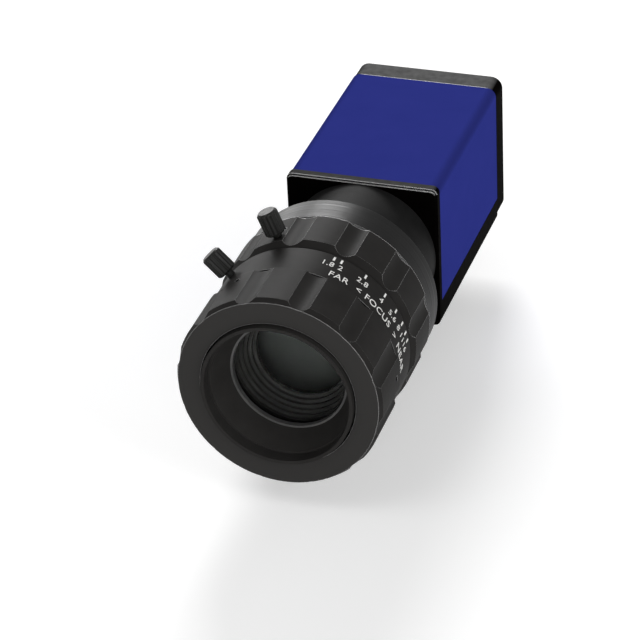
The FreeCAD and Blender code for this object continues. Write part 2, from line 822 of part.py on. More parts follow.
def jack_contacts():
    """Eight spring contacts along the floor of the plug space."""
    contacts = []
    for number in range(8):
        middle = f"({number} - 3.5) * contact_pitch"
        contacts.append(box(f"contact_{number}", ("contact_width", "contact_length", "contact_height"),
                            (f"{middle} - contact_width / 2", f"{JACK_MOUTH} - plug_depth", PLUG_FLOOR)))
    keep(group("contact_group", contacts), "jack_contacts")


def lock_nuts():
    """Two tapped inserts beside the jack, for the locking screws of a plug."""
    nuts = []
    for x in LEFT_RIGHT:
        start = (f"{x} * lock_nut_span / 2", REAR_FACE_OF_COVER, "-jack_below_axis")
        sleeve = rod(f"lock_nut_blank_{x + 1}", "lock_nut_radius", "rear_plate_thickness", start)
        thread = rod(f"lock_nut_thread_{x + 1}", "lock_nut_thread_radius", "rear_plate_thickness", start)
        nuts.append(cut(f"lock_nut_{x + 1}", sleeve, thread))
    keep(group("lock_nut_group", nuts), "plug_lock_nuts")


def io_connector():
    """Round eight pin receptacle: a shell, an insulator behind the cavity and its pins."""
    mouth = "(housing_length + io_proud)"
    floor = f"({mouth} - io_cavity_depth)"
    axis = ("-io_x", "io_above_axis")
    shell = rod("io_shell_blank", "io_shell_radius", f"{mouth} - {REAR_FACE_OF_COVER}",
                (axis[0], REAR_FACE_OF_COVER, axis[1]))
    hollow = rod("io_shell_hollow", "io_shell_radius - io_shell_wall", f"{mouth} - {REAR_FACE_OF_COVER}",
                 (axis[0], REAR_FACE_OF_COVER, axis[1]))
    keep(cut("io_shell", shell, hollow), "io_socket_shell")
    body = rod("io_insert_front", "io_shell_radius - io_shell_wall", f"{floor} - {REAR_FACE_OF_COVER}",
               (axis[0], REAR_FACE_OF_COVER, axis[1]))
    tail = rod("io_insert_tail", "io_tail_radius", f"{REAR_FACE_OF_COVER} - {JACK_START}",
               (axis[0], JACK_START, axis[1]))
    keep(fuse("io_insert", [body, tail]), "io_socket_insert")
    pins = []
    for number in range(8):
        radius = "io_pin_circle" if number < 7 else "0"
        turned = f"({number} * 360 / 7)"
        pins.append(rod(f"io_pin_{number}", "io_pin_radius", "io_pin_length",
                        (f"{axis[0]} + {radius} * sin{turned}", floor, f"{axis[1]} + {radius} * cos{turned}")))
    keep(group("io_pin_group", pins), "io_socket_pins")


def status_light():
    led = centred_box("led", "led_side", "led_height", "led_side", JACK_START, at_x="light_x",
                      at_z="light_above_axis")
    keep(led, "status_led")
    start = f"({JACK_START} + led_height)"
    keep(rod("light_pipe", "light_radius", f"housing_length - {start}", ("light_x", start, "light_above_axis")),
         "status_light_pipe")


# The lens: fixed barrels


FLANGE_FRONT = "flange_length"
DRIVE_RING_START = "(iris_floor + drive_ring_gap)"
DRIVE_RING_END = f"({DRIVE_RING_START} + drive_ring_thickness)"
BLADES_START = f"({DRIVE_RING_END} + drive_ring_gap)"
BLADES_END = f"({BLADES_START} + blade_pitch * (blade_count - 1) + blade_thickness)"
IRIS_PLATE_START = f"({BLADES_END} + drive_ring_gap * 2)"
IRIS_PLATE_END = f"({IRIS_PLATE_START} + iris_plate_thickness)"


def rear_barrel():
    body = new_lens_body("rear_barrel")
    thread_start = "(-thread_length)"
    revolve(body, [("rear_lip_radius", thread_start), ("mount_thread_radius", thread_start),
                   ("mount_thread_radius", "-thread_relief"),
                   ("mount_thread_radius - thread_relief", "-thread_relief"),
                   ("mount_thread_radius - thread_relief", "0"), ("flange_radius", "0"),
                   ("flange_radius", f"{FLANGE_FRONT} - flange_bevel"),
                   ("flange_radius - flange_bevel", FLANGE_FRONT), ("iris_tube_radius", FLANGE_FRONT),
                   ("iris_tube_radius", "band_start"), ("iris_chamber_radius", "band_start"),
                   ("iris_chamber_radius", "iris_floor"), ("rear_bore_radius", "iris_floor"),
                   ("rear_bore_radius", f"{thread_start} + rear_lip"),
                   ("rear_lip_radius", f"{thread_start} + rear_lip")])
    start = "180 - (drive_screw_angle + drive_slot_margin)"
    sector = "iris_travel + drive_slot_margin * 2"
    rotation = FreeCAD.Rotation(FreeCAD.Vector(0, 1, 0), -value(f"{start} + {sector}")) * TO_REAR
    drill(body, "drive_screw_slot", "iris_tube_radius + 1", "drive_screw_radius * 2 + seat_clearance * 2", rotation,
          "0", f"{DRIVE_SCREW_PLACE} - drive_screw_radius - seat_clearance", "0", sector)


DRIVE_SCREW_PLACE = f"({DRIVE_RING_START} + drive_ring_thickness / 2)"


def number_barrel():
    """The fixed band that carries the scale, with the tube that the focus ring turns on."""
    body = new_lens_body("number_barrel")
    spigot = "(iris_chamber_radius - spigot_clearance)"
    low_groove = "(ring_screw_place - retaining_groove_width / 2)"
    high_groove = "(ring_screw_place + retaining_groove_width / 2)"
    revolve(body, [("spigot_bore_radius", IRIS_PLATE_END), (spigot, IRIS_PLATE_END), (spigot, "band_start"),
                   ("band_radius", "band_start"), ("band_radius", "band_end"), ("focus_tube_radius", "band_end"),
                   ("focus_tube_radius", low_groove), ("retaining_groove_radius", low_groove),
                   ("retaining_groove_radius", high_groove), ("focus_tube_radius", high_groove),
                   ("focus_tube_radius", "focus_tube_end"), ("focus_bore_radius", "focus_tube_end"),
                   ("focus_bore_radius", "band_start"), ("spigot_bore_radius", "band_start")])
    drill_spoke(body, "focus_lock_hole", "lock_shank_radius + thread_clearance", "focus_lock_angle",
                "focus_lock_place", "focus_bore_radius - 1", "band_radius")
    drill_spoke(body, "guide_pin_hole", "guide_pin_radius", "270", "guide_pin_place", "focus_bore_radius - 1",
                "band_radius")


def guide_pin():
    """The pin that keeps the focusing barrel from turning."""
    start = "(front_barrel_radius - keyway_depth + seat_clearance)"
    keep(lens_spoke("guide_pin_rod", "guide_pin_radius", f"band_radius - {start} - ring_screw_sink", "270",
               "guide_pin_place", start), "focus_guide_pin")


# The lens: rings that the fingers turn


def flutes(body, angle):
    """Shallow round grooves along a ring, one of them at the angle given from +X towards +Z."""
    mirrored = f"(180 - ({angle}))"
    reach = "(ring_radius - flute_depth + flute_cutter_radius)"
    sketch = new_sketch(body, body.Name + "_flute", "XZ_Plane")
    ring_outline(sketch, f"{reach} * cos{mirrored}", f"{reach} * sin{mirrored}", "flute_cutter_radius")
    first = pocket(body, body.Name + "_first_flute", sketch)
    pattern = body.newObject("PartDesign::PolarPattern", body.Name + "_flutes")
    pattern.Originals = [first]
    pattern.Axis = (origin_part(body, "Y_Axis"), [""])
    pattern.Angle = 360
    bind(pattern, "Occurrences", "flute_count")
    body.Tip = pattern
    DOC.recompute()


def iris_ring():
    body = new_lens_body("iris_ring")
    bore = "(iris_tube_radius + running_clearance)"
    step = "(iris_ring_start + ring_step_length)"
    revolve(body, [(bore, "iris_ring_start"), ("ring_step_radius", "iris_ring_start"), ("ring_step_radius", step),
                   ("ring_radius", step), ("ring_radius", "iris_ring_chamfer_start"),
                   ("iris_ring_nose_radius", "iris_ring_end"), (bore, "iris_ring_end")])
    flutes(body, "iris_flute_angle")
    drill_spoke(body, "iris_lock_hole", "lock_shank_radius + thread_clearance", "iris_lock_angle",
                "iris_lock_place", f"{bore} - 1", "ring_radius")
    drill_spoke(body, "drive_screw_hole", "drive_screw_radius", "drive_screw_angle", DRIVE_SCREW_PLACE,
                f"{bore} - 1", "ring_radius")


def focus_ring():
    body = new_lens_body("focus_ring")
    bore = "(focus_tube_radius + running_clearance)"
    step = "(focus_ring_start + ring_step_length)"
    lip = "(focus_ring_end - focus_ring_lip)"
    revolve(body, [(bore, "focus_ring_start"), ("ring_step_radius", "focus_ring_start"), ("ring_step_radius", step),
                   ("ring_radius", step), ("ring_radius", "focus_ring_chamfer_start"),
                   ("focus_ring_nose_radius", "focus_ring_end"), ("focus_ring_lip_radius", "focus_ring_end"),
                   ("focus_ring_lip_radius", lip), (bore, lip)])
    flutes(body, "focus_flute_angle")
    for number in range(3):
        drill_spoke(body, f"ring_screw_hole_{number}", "ring_screw_radius", f"ring_screw_angle + {number} * 120",
                    "ring_screw_place", f"{bore} - 1", "ring_radius")


def ring_screws():
    """Three set screws whose tips run in the tube's groove and keep the focus ring on it."""
    start = "(retaining_groove_radius + seat_clearance * 2)"
    screws = []
    for number in range(3):
        screws.append(lens_spoke(f"ring_screw_{number}", "ring_screw_radius",
                            f"ring_radius - ring_screw_sink - {start}", f"(ring_screw_angle + {number} * 120)",
                            "ring_screw_place", start))
    keep(group("ring_screw_group", screws), "focus_ring_screws")


def lock_screw(label, angle, forward, seat_radius):
    """A thumbscrew: a bevelled head on a shank whose tip stands just off the piece that it clamps."""
    tip = f"({seat_radius} + lock_tip_gap)"
    shank = lens_spoke(label + "_shank", "lock_shank_radius", f"lock_head_start - {tip}", angle, forward, tip)
    head = lens_spoke(label + "_head", "lock_head_radius", "lock_head_length", angle, forward, "lock_head_start")
    bevelled = DOC.addObject("Part::Chamfer", label + "_bevelled")
    bevelled.Base = head
    size = value("lock_head_bevel")
    DOC.recompute()
    rims = [number for number, edge in enumerate(head.Shape.Edges, 1) if edge.isClosed()]
    bevelled.Edges = [(number, size, size) for number in rims]
    keep(fuse(label + "_solid", [shank, bevelled]), label)


# The lens: focusing barrel and glass


def focus_barrel():
    """The sliding barrel: filter thread, conical mouth and the lens bore."""
    body = new_lens_body("focus_barrel")
    thread_floor = "(front_rim - filter_thread_depth)"
    rear = "front_barrel_start"
    points = [("front_lip_radius", rear), ("front_barrel_radius", rear), ("front_barrel_radius", "front_rim"),
              ("filter_thread_radius", "front_rim"), ("filter_thread_radius", thread_floor),
              ("mouth_radius", thread_floor), ("mouth_throat_radius", "mouth_throat"),
              ("front_bore_radius", "mouth_throat"), ("front_bore_radius", f"{rear} + front_lip"),
              ("front_lip_radius", f"{rear} + front_lip")]
    revolve(body, points)
    keyway(body)


def keyway(body):
    """An axial slot along the underside that slides over the guide pin."""
    before = body.Tip.Shape.Volume
    cutter = body.newObject("PartDesign::SubtractiveBox", "keyway")
    bind(cutter, "Length", "keyway_half_width * 2")
    bind(cutter, "Width", "keyway_length")
    bind(cutter, "Height", "keyway_depth + 1")
    bind(cutter, "Placement.Base.x", "-keyway_half_width")
    bind(cutter, "Placement.Base.y", "front_barrel_start")
    bind(cutter, "Placement.Base.z", "-front_barrel_radius - 1")
    DOC.recompute()
    if cutter.Shape.Volume > before - 1e-6:
        raise ValueError("keyway cuts nothing")


def lens_glass(label, radius, rear, thickness, front_curve):
    """A disc of glass whose front face is a sphere's cap; rear is its flat side, forward of the datum."""
    blank = rod(label + "_blank", radius, thickness, ("0", f"-(mount_length + {rear} + {thickness})", "0"))
    ball = DOC.addObject("Part::Sphere", label + "_ball")
    bind(ball, "Radius", front_curve)
    place(ball, "0", f"-(mount_length + {rear} + {thickness} - {front_curve})", "0")
    item = DOC.addObject("Part::MultiCommon", label + "_ground")
    item.Shapes = [blank, ball]
    keep(item, label)


def sleeve(label, outer, inner, rear, length):
    start = ("0", f"-(mount_length + {rear} + {length})", "0")
    wall = rod(label + "_outer", outer, length, start)
    hole = rod(label + "_inner", inner, length, start)
    keep(cut(label + "_cut", wall, hole), label)


BAFFLE_STEPS = 6


def baffle(outer, start, end):
    """The front spacer, whose bore narrows in steps towards the iris to stop stray light."""
    body = new_lens_body("front_lens_spacer")
    points = [(outer, start), (outer, end)]
    for step in range(BAFFLE_STEPS):
        radius = f"{outer} - spacer_wall * {step + 1}"
        before = f"{end} - ({end} - {start}) * {step} / {BAFFLE_STEPS}"
        after = f"{end} - ({end} - {start}) * {step + 1} / {BAFFLE_STEPS}"
        points += [(radius, before), (radius, after)]
    revolve(body, points)


def front_glass():
    radius = "(front_bore_radius - glass_clearance)"
    floor = "(front_barrel_start + front_lip)"
    lens_glass("second_lens", radius, floor, "second_glass_thickness", "second_glass_curve")
    ring_start = "(mouth_throat - retaining_ring_height)"
    rise = "(front_glass_curve - sqrt(front_glass_curve ^ 2 - retaining_ring_inner ^ 2) - glass_clearance)"
    front_start = f"({ring_start} + {rise} - front_glass_thickness)"
    spacer_start = f"({floor} + second_glass_thickness)"
    baffle(radius, spacer_start, front_start)
    lens_glass("front_lens", radius, front_start, "front_glass_thickness", "front_glass_curve")
    sleeve("front_retaining_ring", radius, "retaining_ring_inner", ring_start, "retaining_ring_height")


def rear_glass():
    radius = "(rear_bore_radius - glass_clearance)"
    floor = "(rear_lip - thread_length)"
    lens_glass("rear_lens", radius, floor, "rear_glass_thickness", "rear_glass_curve")
    ring_start = "(iris_floor - rear_ring_height)"
    third_start = f"({ring_start} - third_glass_thickness)"
    spacer_start = f"({floor} + rear_glass_thickness)"
    sleeve("rear_lens_spacer", radius, f"({radius} - spacer_wall)", spacer_start,
           f"({third_start} - {spacer_start})")
    lens_glass("third_lens", radius, third_start, "third_glass_thickness", "third_glass_curve")
    sleeve("rear_retaining_ring", radius, "rear_ring_inner", ring_start, "rear_ring_height")


# The iris: blades, cam ring and pivot plate, worked out in the lens's own frame.
# There x and z lie across the axis, y points forward, and an angle runs from +x towards +z.


def across(radius, degrees, forward=0.0):
    """A point at a radius and angle about the optical axis."""
    angle = math.radians(degrees)
    return FreeCAD.Vector(radius * math.cos(angle), forward, radius * math.sin(angle))


def turned_about(point, centre, degrees):
    """A point turned about a centre, from +x towards +z."""
    angle = math.radians(degrees)
    x = point.x - centre.x
    z = point.z - centre.z
    return FreeCAD.Vector(centre.x + x * math.cos(angle) - z * math.sin(angle), point.y,
                          centre.z + x * math.sin(angle) + z * math.cos(angle))


def blade_angle(number):
    return 360.0 * number / value("blade_count")


def pivot_point(number):
    return across(value("pivot_circle"), blade_angle(number))


def follower_point(number):
    """The follower pin's rest place: behind the pivot, a little inside its circle."""
    pivot = pivot_point(number)
    arm = across(value("follower_arm"), blade_angle(number) - 90 - value("follower_lead"))
    return pivot + FreeCAD.Vector(arm.x, 0, arm.z)


def disc(radius, centre, start, length):
    """A cylinder about an axis parallel to the optical axis."""
    base = FreeCAD.Vector(centre.x, start, centre.z)
    return Part.makeCylinder(radius, length, base, FreeCAD.Vector(0, 1, 0))


def tangent_link(one, one_radius, two, two_radius, start, length):
    """A flat bar between two discs, as wide at each end as the disc there."""
    along = two.sub(one).normalize()
    side = FreeCAD.Vector(-along.z, 0, along.x)
    corners = [one + side * one_radius, two + side * two_radius, two - side * two_radius, one - side * one_radius]
    lifted = [FreeCAD.Vector(corner.x, start, corner.z) for corner in corners]
    face = Part.Face(Part.makePolygon(lifted + lifted[:1]))
    return face.extrude(FreeCAD.Vector(0, length, 0))


def crescent(start_angle, sweep, low, thickness):
    """The light-tight sickle of a blade: part of a flat ring about the axis."""
    inner = value("blade_inner_radius")
    outer = value("blade_outer_radius")
    middle = start_angle + sweep / 2
    end = start_angle + sweep
    edges = [Part.Arc(across(outer, start_angle, low), across(outer, middle, low), across(outer, end, low)).toShape(),
             Part.makeLine(across(outer, end, low), across(inner, end, low)),
             Part.Arc(across(inner, end, low), across(inner, middle, low), across(inner, start_angle, low)).toShape(),
             Part.makeLine(across(inner, start_angle, low), across(outer, start_angle, low))]
    return Part.Face(Part.Wire(edges)).extrude(FreeCAD.Vector(0, thickness, 0))


def iris_blade(number):
    """One blade with its pivot pin ahead of it and its follower pin behind."""
    thickness = value("blade_thickness")
    low = value(BLADES_START) + value("blade_pitch") * number
    pin = value("pivot_pin_radius")
    lug = value("pivot_lug_radius")
    heel = value("follower_lug_radius")
    pivot = pivot_point(number)
    follower = follower_point(number)
    root = across(value("blade_outer_radius") - lug, blade_angle(number) + 6)
    plate = crescent(blade_angle(number), value("blade_sweep"), low, thickness)
    parts = [disc(lug, pivot, low, thickness), disc(heel, follower, low, thickness),
             tangent_link(pivot, lug, follower, heel, low, thickness),
             tangent_link(root, lug, pivot, lug, low, thickness),
             disc(pin, pivot, low, value(IRIS_PLATE_END) - low),
             disc(pin, follower, value(DRIVE_RING_START), low - value(DRIVE_RING_START) + thickness)]
    return plate.fuse(parts).removeSplitter()


CAM_STEPS = 8


def cam_point(number, share):
    """Where a follower pin's centre is in the drive ring, from wide open at 0 to closed at 1."""
    pin = turned_about(follower_point(number), pivot_point(number), share * value("blade_turn"))
    return turned_about(pin, FreeCAD.Vector(), -share * value("iris_travel"))


def cam_wall(number, offset):
    """One long wall of a cam slot: the pin's path, moved sideways."""
    points = []
    for step in range(CAM_STEPS + 1):
        share = step / CAM_STEPS
        along = cam_point(number, share + 0.001).sub(cam_point(number, share - 0.001)).normalize()
        side = FreeCAD.Vector(along.z, 0, -along.x)
        points.append(cam_point(number, share) + side * offset)
    return points


def cam_slot(number):
    """The cutter for one cam slot: two long walls and a round at each end."""
    half_width = value("pivot_pin_radius + pin_clearance")
    left = cam_wall(number, half_width)
    right = cam_wall(number, -half_width)
    right.reverse()
    edges = []
    for wall, share, sense in ((left, 1, 1), (right, 0, -1)):
        curve = Part.BSplineCurve()
        curve.interpolate(wall)
        edges.append(curve.toShape())
        end = cam_point(number, share)
        beyond = cam_point(number, share + 0.001).sub(cam_point(number, share - 0.001)).normalize()
        tip = end + beyond * half_width * sense
        next_wall = right if wall is left else left
        edges.append(Part.Arc(wall[-1], tip, next_wall[0]).toShape())
    face = Part.Face(Part.Wire(edges))
    face.translate(FreeCAD.Vector(0, value(DRIVE_RING_START), 0))
    return face.extrude(FreeCAD.Vector(0, value("drive_ring_thickness"), 0))


def drive_ring():
    """The ring that the iris ring's screw turns; its cam slots swing the blades."""
    start = value(DRIVE_RING_START)
    thickness = value("drive_ring_thickness")
    centre = FreeCAD.Vector()
    outer = disc(value("iris_chamber_radius - running_clearance"), centre, start, thickness)
    shape = outer.cut(disc(value("drive_ring_inner"), centre, start, thickness))
    slots = [cam_slot(number) for number in range(int(value("blade_count")))]
    tip = value(f"{DRIVE_TIP_RADIUS}")
    mirrored = 180 - value("drive_screw_angle")
    base = across(tip, mirrored, value(DRIVE_SCREW_PLACE))
    hole = Part.makeCylinder(value("drive_screw_radius"), 4, base, across(1, mirrored))
    return shape.cut(slots + [hole])


DRIVE_TIP_RADIUS = "(iris_chamber_radius - running_clearance - 0.6)"


def pivot_plate():
    """The fixed ring that the blades' pivot pins turn in; its bore is the widest aperture."""
    start = value(IRIS_PLATE_START)
    thickness = value("iris_plate_thickness")
    centre = FreeCAD.Vector()
    outer = disc(value("iris_chamber_radius - spigot_clearance"), centre, start, thickness)
    holes = [disc(value("iris_opening_radius"), centre, start, thickness)]
    for number in range(int(value("blade_count"))):
        holes.append(disc(value("pivot_pin_radius + pin_clearance"), pivot_point(number), start, thickness))
    return outer.cut(holes)


def lens_feature(label, shape):
    """A piece worked out in the lens's frame, set where the lens stands."""
    item = DOC.addObject("Part::Feature", label)
    item.Shape = shape
    turn(item, (0, 0, 1), 180)
    place(item, "0", "-mount_length", "0")
    keep(item, label)


def iris():
    lens_feature("iris_drive_ring", drive_ring())
    lens_feature("iris_pivot_plate", pivot_plate())
    for number in range(int(value("blade_count"))):
        lens_feature(f"iris_blade_{number + 1}", iris_blade(number))
    keep(lens_spoke("drive_screw", "drive_screw_radius", f"ring_radius - ring_screw_sink - {DRIVE_TIP_RADIUS}",
               "drive_screw_angle", DRIVE_SCREW_PLACE, DRIVE_TIP_RADIUS), "iris_drive_screw")


# The whole camera


def build():
    fill_sheet()
    front_plate()
    base_tray()
    top_cover()
    rear_plate()
    tie_screws()
    c_mount()
    mount_screws()
    image_sensor()
    boards()
    chips()
    board_links()
    standoffs()
    network_jack()
    jack_contacts()
    lock_nuts()
    io_connector()
    status_light()
    rear_barrel()
    number_barrel()
    guide_pin()
    iris_ring()
    focus_ring()
    ring_screws()
    lock_screw("focus_lock_screw", "focus_lock_angle", "focus_lock_place", "front_barrel_radius")
    lock_screw("iris_lock_screw", "iris_lock_angle", "iris_lock_place", "iris_tube_radius")
    focus_barrel()
    front_glass()
    rear_glass()
    iris()
    DOC.recompute()


def check_document():
    for item in DOC.Objects:
        if "Invalid" in item.State or "Error" in item.State:
            raise ValueError(f"{item.Label} failed: {item.State}")
    for item in NODES:
        if item.Shape.isNull() or not item.Shape.isValid():
            raise ValueError(f"{item.Label} has no valid shape")


def export():
    os.makedirs("parts", exist_ok=True)
    for item in NODES:
        item.Shape.exportStep(f"parts/{item.Label}.step")
    print(len(NODES), "pieces written")


build()
check_document()
export()
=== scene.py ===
"""Looks of the machine vision camera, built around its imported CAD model.

Everything is in metres in the CAD frame: +Z up, the lens looks along -Y. Places come from the CAD
nodes' boxes and the record's joints. The datum is the centre of the front plate's outer face, on the
optical axis, and "ahead" is a distance in front of it.
"""
import json
import math

import bmesh
import bpy
from mathutils import Matrix, Vector


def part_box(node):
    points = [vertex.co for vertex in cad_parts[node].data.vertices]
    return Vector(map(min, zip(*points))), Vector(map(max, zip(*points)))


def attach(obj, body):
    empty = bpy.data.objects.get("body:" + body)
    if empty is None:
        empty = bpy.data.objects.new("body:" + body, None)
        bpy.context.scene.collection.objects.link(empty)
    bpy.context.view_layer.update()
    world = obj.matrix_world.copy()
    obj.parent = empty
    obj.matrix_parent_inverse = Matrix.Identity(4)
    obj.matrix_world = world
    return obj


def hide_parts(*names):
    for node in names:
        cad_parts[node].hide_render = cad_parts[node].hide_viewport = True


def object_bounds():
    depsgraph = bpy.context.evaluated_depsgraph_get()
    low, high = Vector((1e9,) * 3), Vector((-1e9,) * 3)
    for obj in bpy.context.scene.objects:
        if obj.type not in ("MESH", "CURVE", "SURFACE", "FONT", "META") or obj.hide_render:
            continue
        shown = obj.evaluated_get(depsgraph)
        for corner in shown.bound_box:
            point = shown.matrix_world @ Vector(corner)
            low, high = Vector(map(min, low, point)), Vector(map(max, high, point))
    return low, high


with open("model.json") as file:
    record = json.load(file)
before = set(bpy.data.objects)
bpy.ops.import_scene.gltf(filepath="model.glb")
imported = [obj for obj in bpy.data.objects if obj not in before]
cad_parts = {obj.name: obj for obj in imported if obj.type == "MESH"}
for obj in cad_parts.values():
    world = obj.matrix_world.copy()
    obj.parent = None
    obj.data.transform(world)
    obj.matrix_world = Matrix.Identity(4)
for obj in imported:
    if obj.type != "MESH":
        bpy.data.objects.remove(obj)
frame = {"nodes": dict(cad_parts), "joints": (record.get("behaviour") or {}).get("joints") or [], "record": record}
CAD_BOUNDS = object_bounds()
NODES = frame["nodes"]
MM = 0.001

PLATE_LOW, PLATE_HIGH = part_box("front_plate")
AXIS_X = (PLATE_LOW.x + PLATE_HIGH.x) / 2
AXIS_Z = (PLATE_LOW.z + PLATE_HIGH.z) / 2
DATUM = Vector((AXIS_X, PLATE_LOW.y, AXIS_Z))

# The view: angles in degrees, the camera's place from the datum and its lens in millimetres
VIEW_AZIMUTH = 19.25
VIEW_ELEVATION = 31.64
VIEW_ROLL = -2.77
VIEW_PLACE = Vector((0.1593, -0.4825, 0.2983))
VIEW_LENS = 178.3
VIEW_CLIP_START = 0.01

# The studio: the floor glows a little near the object and fully beyond the far fade distance
FLOOR_GAP = 5.5 * MM
FLOOR_REACH = 3.0
FLOOR_COLOUR = (0.9, 0.9, 0.9)
FLOOR_ROUGHNESS = 0.9
FLOOR_GLOW = 0.3
FADE_DISTANCES = (0.25, 1.2)
WORLD_LIGHT = 0.19
WHITE = (1, 1, 1)

# Each softbox has a place, a width and height, and the radiance of its face, where 1 is white
SOFTBOXES = {
    "back_key": ((-0.30, 0.80, 0.50), (0.34, 0.30), 23.0),
    "back_left_softbox": ((-0.60, 0.80, 0.14), (0.4, 0.24), 7.0),
    "overhead_softbox": ((-0.28, -0.45, 0.85), (0.45, 0.45), 2.2),
    "right_softbox": ((0.9, -0.35, 0.4), (0.6, 0.6), 3.6),
    "front_softbox": ((0.3, -1.05, 0.22), (0.6, 0.6), 6.0),
}


# Node helpers


BUMP_DEPTH = 0.02 * MM
RAY_SAMPLES = 6
NOISE_RANGE = (0.3, 0.7)


def add_node(material, kind, **settings):
    node = material.node_tree.nodes.new(kind)
    for name, setting in settings.items():
        setattr(node, name, setting)
    return node


def link(material, source, target):
    material.node_tree.links.new(source, target)


def feed(material, socket, value):
    """Gives a socket a number, a colour, or a link from another socket."""
    if isinstance(value, (int, float)):
        socket.default_value = value
    elif isinstance(value, tuple):
        socket.default_value = (*value, 1)
    else:
        link(material, value, socket)


def shader_of(material):
    return material.node_tree.nodes["Principled BSDF"]


def new_material(name, colour, metallic=0.0, roughness=0.5, specular=0.5):
    """A Principled material, ready for detail."""
    material = bpy.data.materials.new(name)
    material.use_nodes = True
    inputs = shader_of(material).inputs
    feed(material, inputs["Base Color"], colour)
    feed(material, inputs["Metallic"], metallic)
    feed(material, inputs["Roughness"], roughness)
    feed(material, inputs["Specular IOR Level"], specular)
    return material


def object_place(material):
    return add_node(material, "ShaderNodeTexCoord").outputs["Object"]


def surface_normal(material):
    return add_node(material, "ShaderNodeNewGeometry").outputs["Normal"]


def split(material, vector):
    """The X, Y and Z outputs of a vector."""
    node = add_node(material, "ShaderNodeSeparateXYZ")
    link(material, vector, node.inputs[0])
    return node.outputs


def math_node(material, operation, *values):
    node = add_node(material, "ShaderNodeMath", operation=operation)
    for socket, value in zip(node.inputs, values):
        feed(material, socket, value)
    return node.outputs[0]


def map_range(material, value, source, target=(0.0, 1.0)):
    """A value brought from one range to another, and held at its ends."""
    node = add_node(material, "ShaderNodeMapRange")
    node.inputs["From Min"].default_value, node.inputs["From Max"].default_value = source
    node.inputs["To Min"].default_value, node.inputs["To Max"].default_value = target
    link(material, value, node.inputs["Value"])
    return node.outputs["Result"]


def noise(material, scale, detail=3.0):
    node = add_node(material, "ShaderNodeTexNoise")
    node.inputs["Scale"].default_value = scale
    node.inputs["Detail"].default_value = detail
    link(material, object_place(material), node.inputs["Vector"])
    return node.outputs["Fac"]


def vary_colour(material, value, dark, light):
    """Base colour between two tones, by a value such as a noise."""
    ramp = add_node(material, "ShaderNodeValToRGB")
    for element, position, tone in zip(ramp.color_ramp.elements, NOISE_RANGE, (dark, light)):
        element.position = position
        element.color = (*tone, 1)
    link(material, value, ramp.inputs["Fac"])
    link(material, ramp.outputs["Color"], shader_of(material).inputs["Base Color"])


def vary_roughness(material, value, low, high):
    rough = map_range(material, value, NOISE_RANGE, (low, high))
    link(material, rough, shader_of(material).inputs["Roughness"])


def soft_edges(material, radius):
    """A normal that rounds every sharp edge a little, so that it catches light as a real one does."""
    node = add_node(material, "ShaderNodeBevel", samples=RAY_SAMPLES)
    node.inputs["Radius"].default_value = radius
    return node.outputs["Normal"]


def bump(material, height, strength, normal=None):
    """A normal raised by a height of up to BUMP_DEPTH."""
    node = add_node(material, "ShaderNodeBump")
    node.inputs["Strength"].default_value = strength
    node.inputs["Distance"].default_value = BUMP_DEPTH
    link(material, height, node.inputs["Height"])
    if normal is not None:
        link(material, normal, node.inputs["Normal"])
    return node.outputs["Normal"]


def set_normal(material, normal):
    link(material, normal, shader_of(material).inputs["Normal"])


def lay_over(material, share, top, blend="MIX"):
    """Lays a colour or a grey over the base colour, by a share from 0 to 1."""
    colour = shader_of(material).inputs["Base Color"]
    mix = add_node(material, "ShaderNodeMix", data_type="RGBA", blend_type=blend)
    link(material, colour.links[0].from_socket, mix.inputs["A"])
    feed(material, mix.inputs["Factor"], share)
    feed(material, mix.inputs["B"], top)
    link(material, mix.outputs["Result"], colour)


# Wear with painted highlights, painted light and sheen, and painted shade


# Cosines between the true and the rounded normal, off an edge and fully on it
EDGE_COSINES = (0.985, 0.86)
NO_LIMIT = 1.1
NOT_REAR = (0.15, -NO_LIMIT)
UPPER_NOT_REAR = (0.15, 0.2)
ANY_EDGE = (NO_LIMIT, -NO_LIMIT)
RUBBED_METALLIC = 0.4
OPEN_SHARES = (0.35, 0.85)
FACE_ACROSS_AXIS = 0.8
UPWARD = (0.75, 1.0)
BEND_GAIN = 1.6


def edge_share(material, radius, limits):
    """1 along sharp edges and 0 away from them.

    The limits say how far an edge may face the rear and how far up it has to face, so that the painted highlight
    falls only on edges turned towards the lights.
    """
    rounded = soft_edges(material, radius)
    turn = add_node(material, "ShaderNodeVectorMath", operation="DOT_PRODUCT")
    link(material, rounded, turn.inputs[0])
    link(material, surface_normal(material), turn.inputs[1])
    on_edge = map_range(material, turn.outputs["Value"], EDGE_COSINES)
    facing = split(material, rounded)
    most_rear, least_up = limits
    counted = math_node(material, "MULTIPLY",
                        math_node(material, "LESS_THAN", facing["Y"], most_rear),
                        math_node(material, "GREATER_THAN", facing["Z"], least_up))
    return math_node(material, "MULTIPLY", on_edge, counted)


def wear_and_highlight_edges(material, radius, grey, share, limits=NOT_REAR):
    """Edges rubbed towards bare metal and partly metallic, with a painted highlight: a lighter grey laid on the
    edges.
    """
    rubbed_and_lit = math_node(material, "MULTIPLY", edge_share(material, radius, limits), share)
    lay_over(material, rubbed_and_lit, (grey, grey, grey))
    link(material, math_node(material, "MULTIPLY", rubbed_and_lit, RUBBED_METALLIC),
         shader_of(material).inputs["Metallic"])


def paint_shade_in_corners(material, distance, darkest):
    """Painted shade: narrow gaps and inner corners are darkened by ambient occlusion over a short distance."""
    node = add_node(material, "ShaderNodeAmbientOcclusion", samples=RAY_SAMPLES)
    node.inputs["Distance"].default_value = distance
    open_share = map_range(material, node.outputs["AO"], OPEN_SHARES, (darkest, 1.0))
    lay_over(material, 1.0, open_share, blend="MULTIPLY")


def paint_light_on_faces(material, light):
    """Painted light: faces across the optical axis get a lighter base colour than the sides."""
    along = math_node(material, "ABSOLUTE", split(material, surface_normal(material))["Y"])
    lay_over(material, math_node(material, "GREATER_THAN", along, FACE_ACROSS_AXIS), light)


